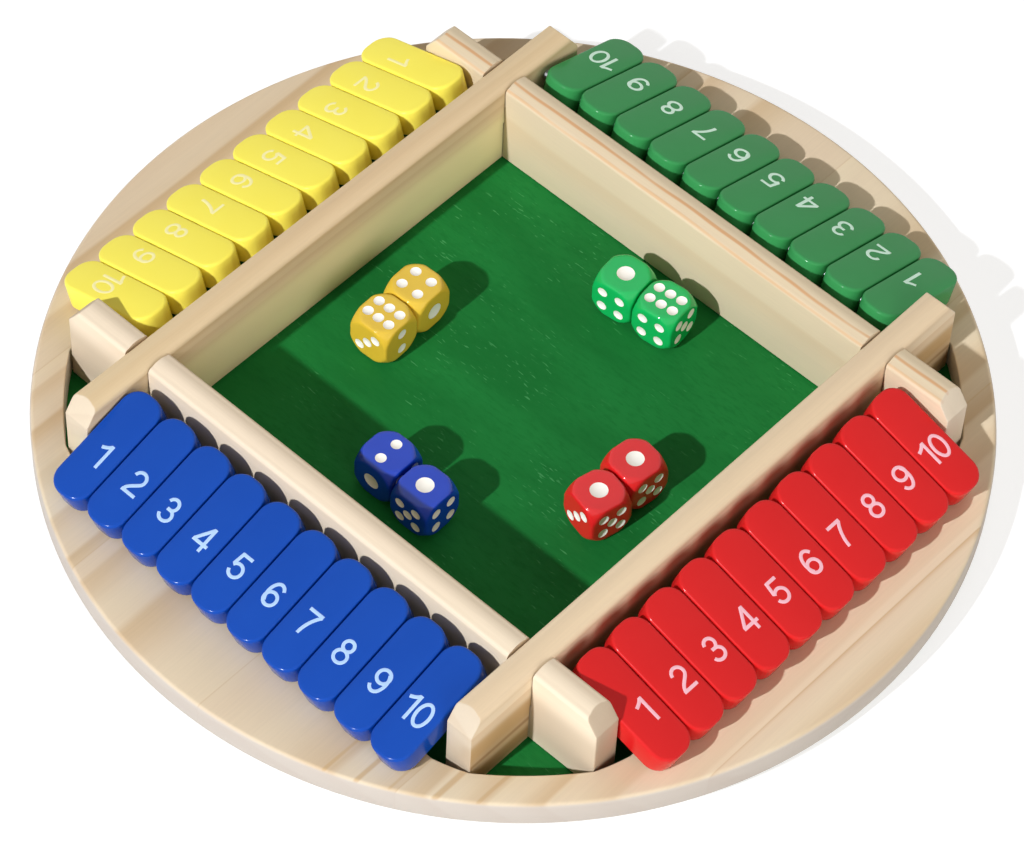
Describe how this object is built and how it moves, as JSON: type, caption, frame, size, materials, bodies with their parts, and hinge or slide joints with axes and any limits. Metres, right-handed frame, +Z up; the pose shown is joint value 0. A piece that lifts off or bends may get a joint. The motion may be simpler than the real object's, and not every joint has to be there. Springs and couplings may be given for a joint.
{
  "type": "shut the box game",
  "caption": "Round four-sided shut the box game: a wooden ring and rails round a green dice tray, rows of numbered flip tiles on rods, and dice in four colours.",
  "frame": {"origin": "on the ring's axis, at the surface that the game stands on", "axes": "+Z up through the middle of the tray; +X along the two long rails, from the blue row to the green row; +Y from the red row to the yellow row"},
  "size_m": [0.3, 0.3, 0.0369],
  "materials": {
    "pine": "clear satin varnish on pale pine",
    "floor_green": "green stain on plywood, satin",
    "rod_steel": "plain drawn wire",
    "tile_yellow": "gloss paint on wood",
    "tile_green": "gloss paint on wood",
    "tile_blue": "gloss paint on wood",
    "tile_red": "gloss paint on wood",
    "die_yellow": "gloss with white pips",
    "die_green": "gloss with white pips",
    "die_blue": "gloss with white pips",
    "die_red": "gloss with white pips"
  },
  "bodies": {
    "board": {"ring": "pine", "floor_panel": "floor_green", "long_rail_back": "pine", "long_rail_front": "pine", "cross_rail_left": "pine", "cross_rail_right": "pine", "rod_yellow": "rod_steel", "rod_green": "rod_steel", "rod_blue": "rod_steel", "rod_red": "rod_steel"},
    "tile_yellow_01": {"tile_yellow_01": "tile_yellow"},
    "tile_yellow_02": {"tile_yellow_02": "tile_yellow"},
    "tile_yellow_03": {"tile_yellow_03": "tile_yellow"},
    "tile_yellow_04": {"tile_yellow_04": "tile_yellow"},
    "tile_yellow_05": {"tile_yellow_05": "tile_yellow"},
    "tile_yellow_06": {"tile_yellow_06": "tile_yellow"},
    "tile_yellow_07": {"tile_yellow_07": "tile_yellow"},
    "tile_yellow_08": {"tile_yellow_08": "tile_yellow"},
    "tile_yellow_09": {"tile_yellow_09": "tile_yellow"},
    "tile_yellow_10": {"tile_yellow_10": "tile_yellow"},
    "tile_green_01": {"tile_green_01": "tile_green"},
    "tile_green_02": {"tile_green_02": "tile_green"},
    "tile_green_03": {"tile_green_03": "tile_green"},
    "tile_green_04": {"tile_green_04": "tile_green"},
    "tile_green_05": {"tile_green_05": "tile_green"},
    "tile_green_06": {"tile_green_06": "tile_green"},
    "tile_green_07": {"tile_green_07": "tile_green"},
    "tile_green_08": {"tile_green_08": "tile_green"},
    "tile_green_09": {"tile_green_09": "tile_green"},
    "tile_green_10": {"tile_green_10": "tile_green"},
    "tile_blue_01": {"tile_blue_01": "tile_blue"},
    "tile_blue_02": {"tile_blue_02": "tile_blue"},
    "tile_blue_03": {"tile_blue_03": "tile_blue"},
    "tile_blue_04": {"tile_blue_04": "tile_blue"},
    "tile_blue_05": {"tile_blue_05": "tile_blue"},
    "tile_blue_06": {"tile_blue_06": "tile_blue"},
    "tile_blue_07": {"tile_blue_07": "tile_blue"},
    "tile_blue_08": {"tile_blue_08": "tile_blue"},
    "tile_blue_09": {"tile_blue_09": "tile_blue"},
    "tile_blue_10": {"tile_blue_10": "tile_blue"},
    "tile_red_01": {"tile_red_01": "tile_red"},
    "tile_red_02": {"tile_red_02": "tile_red"},
    "tile_red_03": {"tile_red_03": "tile_red"},
    "tile_red_04": {"tile_red_04": "tile_red"},
    "tile_red_05": {"tile_red_05": "tile_red"},
    "tile_red_06": {"tile_red_06": "tile_red"},
    "tile_red_07": {"tile_red_07": "tile_red"},
    "tile_red_08": {"tile_red_08": "tile_red"},
    "tile_red_09": {"tile_red_09": "tile_red"},
    "tile_red_10": {"tile_red_10": "tile_red"},
    "die_yellow_1": {"die_yellow_1": "die_yellow"},
    "die_yellow_2": {"die_yellow_2": "die_yellow"},
    "die_green_1": {"die_green_1": "die_green"},
    "die_green_2": {"die_green_2": "die_green"},
    "die_blue_1": {"die_blue_1": "die_blue"},
    "die_blue_2": {"die_blue_2": "die_blue"},
    "die_red_1": {"die_red_1": "die_red"},
    "die_red_2": {"die_red_2": "die_red"}
  },
  "joints": [
    {"name": "tile_yellow_01_flip", "type": "hinge", "parent": "board", "child": "tile_yellow_01", "pos_m": [0.06731, 0.09478, 0.0285], "axis": [1, 0, 0], "range_deg": [0, 139]},
    {"name": "tile_yellow_02_flip", "type": "hinge", "parent": "board", "child": "tile_yellow_02", "pos_m": [0.05251, 0.09478, 0.0285], "axis": [1, 0, 0], "range_deg": [0, 139]},
    {"name": "tile_yellow_03_flip", "type": "hinge", "parent": "board", "child": "tile_yellow_03", "pos_m": [0.03771, 0.09478, 0.0285], "axis": [1, 0, 0], "range_deg": [0, 139]},
    {"name": "tile_yellow_04_flip", "type": "hinge", "parent": "board", "child": "tile_yellow_04", "pos_m": [0.0229, 0.09478, 0.0285], "axis": [1, 0, 0], "range_deg": [0, 139]},
    {"name": "tile_yellow_05_flip", "type": "hinge", "parent": "board", "child": "tile_yellow_05", "pos_m": [0.0081, 0.09478, 0.0285], "axis": [1, 0, 0], "range_deg": [0, 139]},
    {"name": "tile_yellow_06_flip", "type": "hinge", "parent": "board", "child": "tile_yellow_06", "pos_m": [-0.0067, 0.09478, 0.0285], "axis": [1, 0, 0], "range_deg": [0, 139]},
    {"name": "tile_yellow_07_flip", "type": "hinge", "parent": "board", "child": "tile_yellow_07", "pos_m": [-0.0215, 0.09478, 0.0285], "axis": [1, 0, 0], "range_deg": [0, 139]},
    {"name": "tile_yellow_08_flip", "type": "hinge", "parent": "board", "child": "tile_yellow_08", "pos_m": [-0.0363, 0.09478, 0.0285], "axis": [1, 0, 0], "range_deg": [0, 139]},
    {"name": "tile_yellow_09_flip", "type": "hinge", "parent": "board", "child": "tile_yellow_09", "pos_m": [-0.0511, 0.09478, 0.0285], "axis": [1, 0, 0], "range_deg": [0, 139]},
    {"name": "tile_yellow_10_flip", "type": "hinge", "parent": "board", "child": "tile_yellow_10", "pos_m": [-0.06589, 0.09478, 0.0285], "axis": [1, 0, 0], "range_deg": [0, 139]},
    {"name": "tile_green_01_flip", "type": "hinge", "parent": "board", "child": "tile_green_01", "pos_m": [0.09478, -0.06731, 0.0285], "axis": [0, -1, 0], "range_deg": [0, 139]},
    {"name": "tile_green_02_flip", "type": "hinge", "parent": "board", "child": "tile_green_02", "pos_m": [0.09478, -0.05251, 0.0285], "axis": [0, -1, 0], "range_deg": [0, 139]},
    {"name": "tile_green_03_flip", "type": "hinge", "parent": "board", "child": "tile_green_03", "pos_m": [0.09478, -0.03771, 0.0285], "axis": [0, -1, 0], "range_deg": [0, 139]},
    {"name": "tile_green_04_flip", "type": "hinge", "parent": "board", "child": "tile_green_04", "pos_m": [0.09478, -0.0229, 0.0285], "axis": [0, -1, 0], "range_deg": [0, 139]},
    {"name": "tile_green_05_flip", "type": "hinge", "parent": "board", "child": "tile_green_05", "pos_m": [0.09478, -0.0081, 0.0285], "axis": [0, -1, 0], "range_deg": [0, 139]},
    {"name": "tile_green_06_flip", "type": "hinge", "parent": "board", "child": "tile_green_06", "pos_m": [0.09478, 0.0067, 0.0285], "axis": [0, -1, 0], "range_deg": [0, 139]},
    {"name": "tile_green_07_flip", "type": "hinge", "parent": "board", "child": "tile_green_07", "pos_m": [0.09478, 0.0215, 0.0285], "axis": [0, -1, 0], "range_deg": [0, 139]},
    {"name": "tile_green_08_flip", "type": "hinge", "parent": "board", "child": "tile_green_08", "pos_m": [0.09478, 0.0363, 0.0285], "axis": [0, -1, 0], "range_deg": [0, 139]},
    {"name": "tile_green_09_flip", "type": "hinge", "parent": "board", "child": "tile_green_09", "pos_m": [0.09478, 0.0511, 0.0285], "axis": [0, -1, 0], "range_deg": [0, 139]},
    {"name": "tile_green_10_flip", "type": "hinge", "parent": "board", "child": "tile_green_10", "pos_m": [0.09478, 0.06589, 0.0285], "axis": [0, -1, 0], "range_deg": [0, 139]},
    {"name": "tile_blue_01_flip", "type": "hinge", "parent": "board", "child": "tile_blue_01", "pos_m": [-0.09478, 0.06731, 0.0285], "axis": [0, 1, 0], "range_deg": [0, 139]},
    {"name": "tile_blue_02_flip", "type": "hinge", "parent": "board", "child": "tile_blue_02", "pos_m": [-0.09478, 0.05251, 0.0285], "axis": [0, 1, 0], "range_deg": [0, 139]},
    {"name": "tile_blue_03_flip", "type": "hinge", "parent": "board", "child": "tile_blue_03", "pos_m": [-0.09478, 0.03771, 0.0285], "axis": [0, 1, 0], "range_deg": [0, 139]},
    {"name": "tile_blue_04_flip", "type": "hinge", "parent": "board", "child": "tile_blue_04", "pos_m": [-0.09478, 0.0229, 0.0285], "axis": [0, 1, 0], "range_deg": [0, 139]},
    {"name": "tile_blue_05_flip", "type": "hinge", "parent": "board", "child": "tile_blue_05", "pos_m": [-0.09478, 0.0081, 0.0285], "axis": [0, 1, 0], "range_deg": [0, 139]},
    {"name": "tile_blue_06_flip", "type": "hinge", "parent": "board", "child": "tile_blue_06", "pos_m": [-0.09478, -0.0067, 0.0285], "axis": [0, 1, 0], "range_deg": [0, 139]},
    {"name": "tile_blue_07_flip", "type": "hinge", "parent": "board", "child": "tile_blue_07", "pos_m": [-0.09478, -0.0215, 0.0285], "axis": [0, 1, 0], "range_deg": [0, 139]},
    {"name": "tile_blue_08_flip", "type": "hinge", "parent": "board", "child": "tile_blue_08", "pos_m": [-0.09478, -0.0363, 0.0285], "axis": [0, 1, 0], "range_deg": [0, 139]},
    {"name": "tile_blue_09_flip", "type": "hinge", "parent": "board", "child": "tile_blue_09", "pos_m": [-0.09478, -0.0511, 0.0285], "axis": [0, 1, 0], "range_deg": [0, 139]},
    {"name": "tile_blue_10_flip", "type": "hinge", "parent": "board", "child": "tile_blue_10", "pos_m": [-0.09478, -0.06589, 0.0285], "axis": [0, 1, 0], "range_deg": [0, 139]},
    {"name": "tile_red_01_flip", "type": "hinge", "parent": "board", "child": "tile_red_01", "pos_m": [-0.06731, -0.09478, 0.0285], "axis": [-1, 0, 0], "range_deg": [0, 139]},
    {"name": "tile_red_02_flip", "type": "hinge", "parent": "board", "child": "tile_red_02", "pos_m": [-0.05251, -0.09478, 0.0285], "axis": [-1, 0, 0], "range_deg": [0, 139]},
    {"name": "tile_red_03_flip", "type": "hinge", "parent": "board", "child": "tile_red_03", "pos_m": [-0.03771, -0.09478, 0.0285], "axis": [-1, 0, 0], "range_deg": [0, 139]},
    {"name": "tile_red_04_flip", "type": "hinge", "parent": "board", "child": "tile_red_04", "pos_m": [-0.0229, -0.09478, 0.0285], "axis": [-1, 0, 0], "range_deg": [0, 139]},
    {"name": "tile_red_05_flip", "type": "hinge", "parent": "board", "child": "tile_red_05", "pos_m": [-0.0081, -0.09478, 0.0285], "axis": [-1, 0, 0], "range_deg": [0, 139]},
    {"name": "tile_red_06_flip", "type": "hinge", "parent": "board", "child": "tile_red_06", "pos_m": [0.0067, -0.09478, 0.0285], "axis": [-1, 0, 0], "range_deg": [0, 139]},
    {"name": "tile_red_07_flip", "type": "hinge", "parent": "board", "child": "tile_red_07", "pos_m": [0.0215, -0.09478, 0.0285], "axis": [-1, 0, 0], "range_deg": [0, 139]},
    {"name": "tile_red_08_flip", "type": "hinge", "parent": "board", "child": "tile_red_08", "pos_m": [0.0363, -0.09478, 0.0285], "axis": [-1, 0, 0], "range_deg": [0, 139]},
    {"name": "tile_red_09_flip", "type": "hinge", "parent": "board", "child": "tile_red_09", "pos_m": [0.0511, -0.09478, 0.0285], "axis": [-1, 0, 0], "range_deg": [0, 139]},
    {"name": "tile_red_10_flip", "type": "hinge", "parent": "board", "child": "tile_red_10", "pos_m": [0.06589, -0.09478, 0.0285], "axis": [-1, 0, 0], "range_deg": [0, 139]},
    {"name": "die_yellow_1_lift", "type": "slide", "parent": "board", "child": "die_yellow_1", "axis": [0, 0, 1], "range_m": [0, 0.06]},
    {"name": "die_yellow_2_lift", "type": "slide", "parent": "board", "child": "die_yellow_2", "axis": [0, 0, 1], "range_m": [0, 0.06]},
    {"name": "die_green_1_lift", "type": "slide", "parent": "board", "child": "die_green_1", "axis": [0, 0, 1], "range_m": [0, 0.06]},
    {"name": "die_green_2_lift", "type": "slide", "parent": "board", "child": "die_green_2", "axis": [0, 0, 1], "range_m": [0, 0.06]},
    {"name": "die_blue_1_lift", "type": "slide", "parent": "board", "child": "die_blue_1", "axis": [0, 0, 1], "range_m": [0, 0.06]},
    {"name": "die_blue_2_lift", "type": "slide", "parent": "board", "child": "die_blue_2", "axis": [0, 0, 1], "range_m": [0, 0.06]},
    {"name": "die_red_1_lift", "type": "slide", "parent": "board", "child": "die_red_1", "axis": [0, 0, 1], "range_m": [0, 0.06]},
    {"name": "die_red_2_lift", "type": "slide", "parent": "board", "child": "die_red_2", "axis": [0, 0, 1], "range_m": [0, 0.06]}
  ]
}
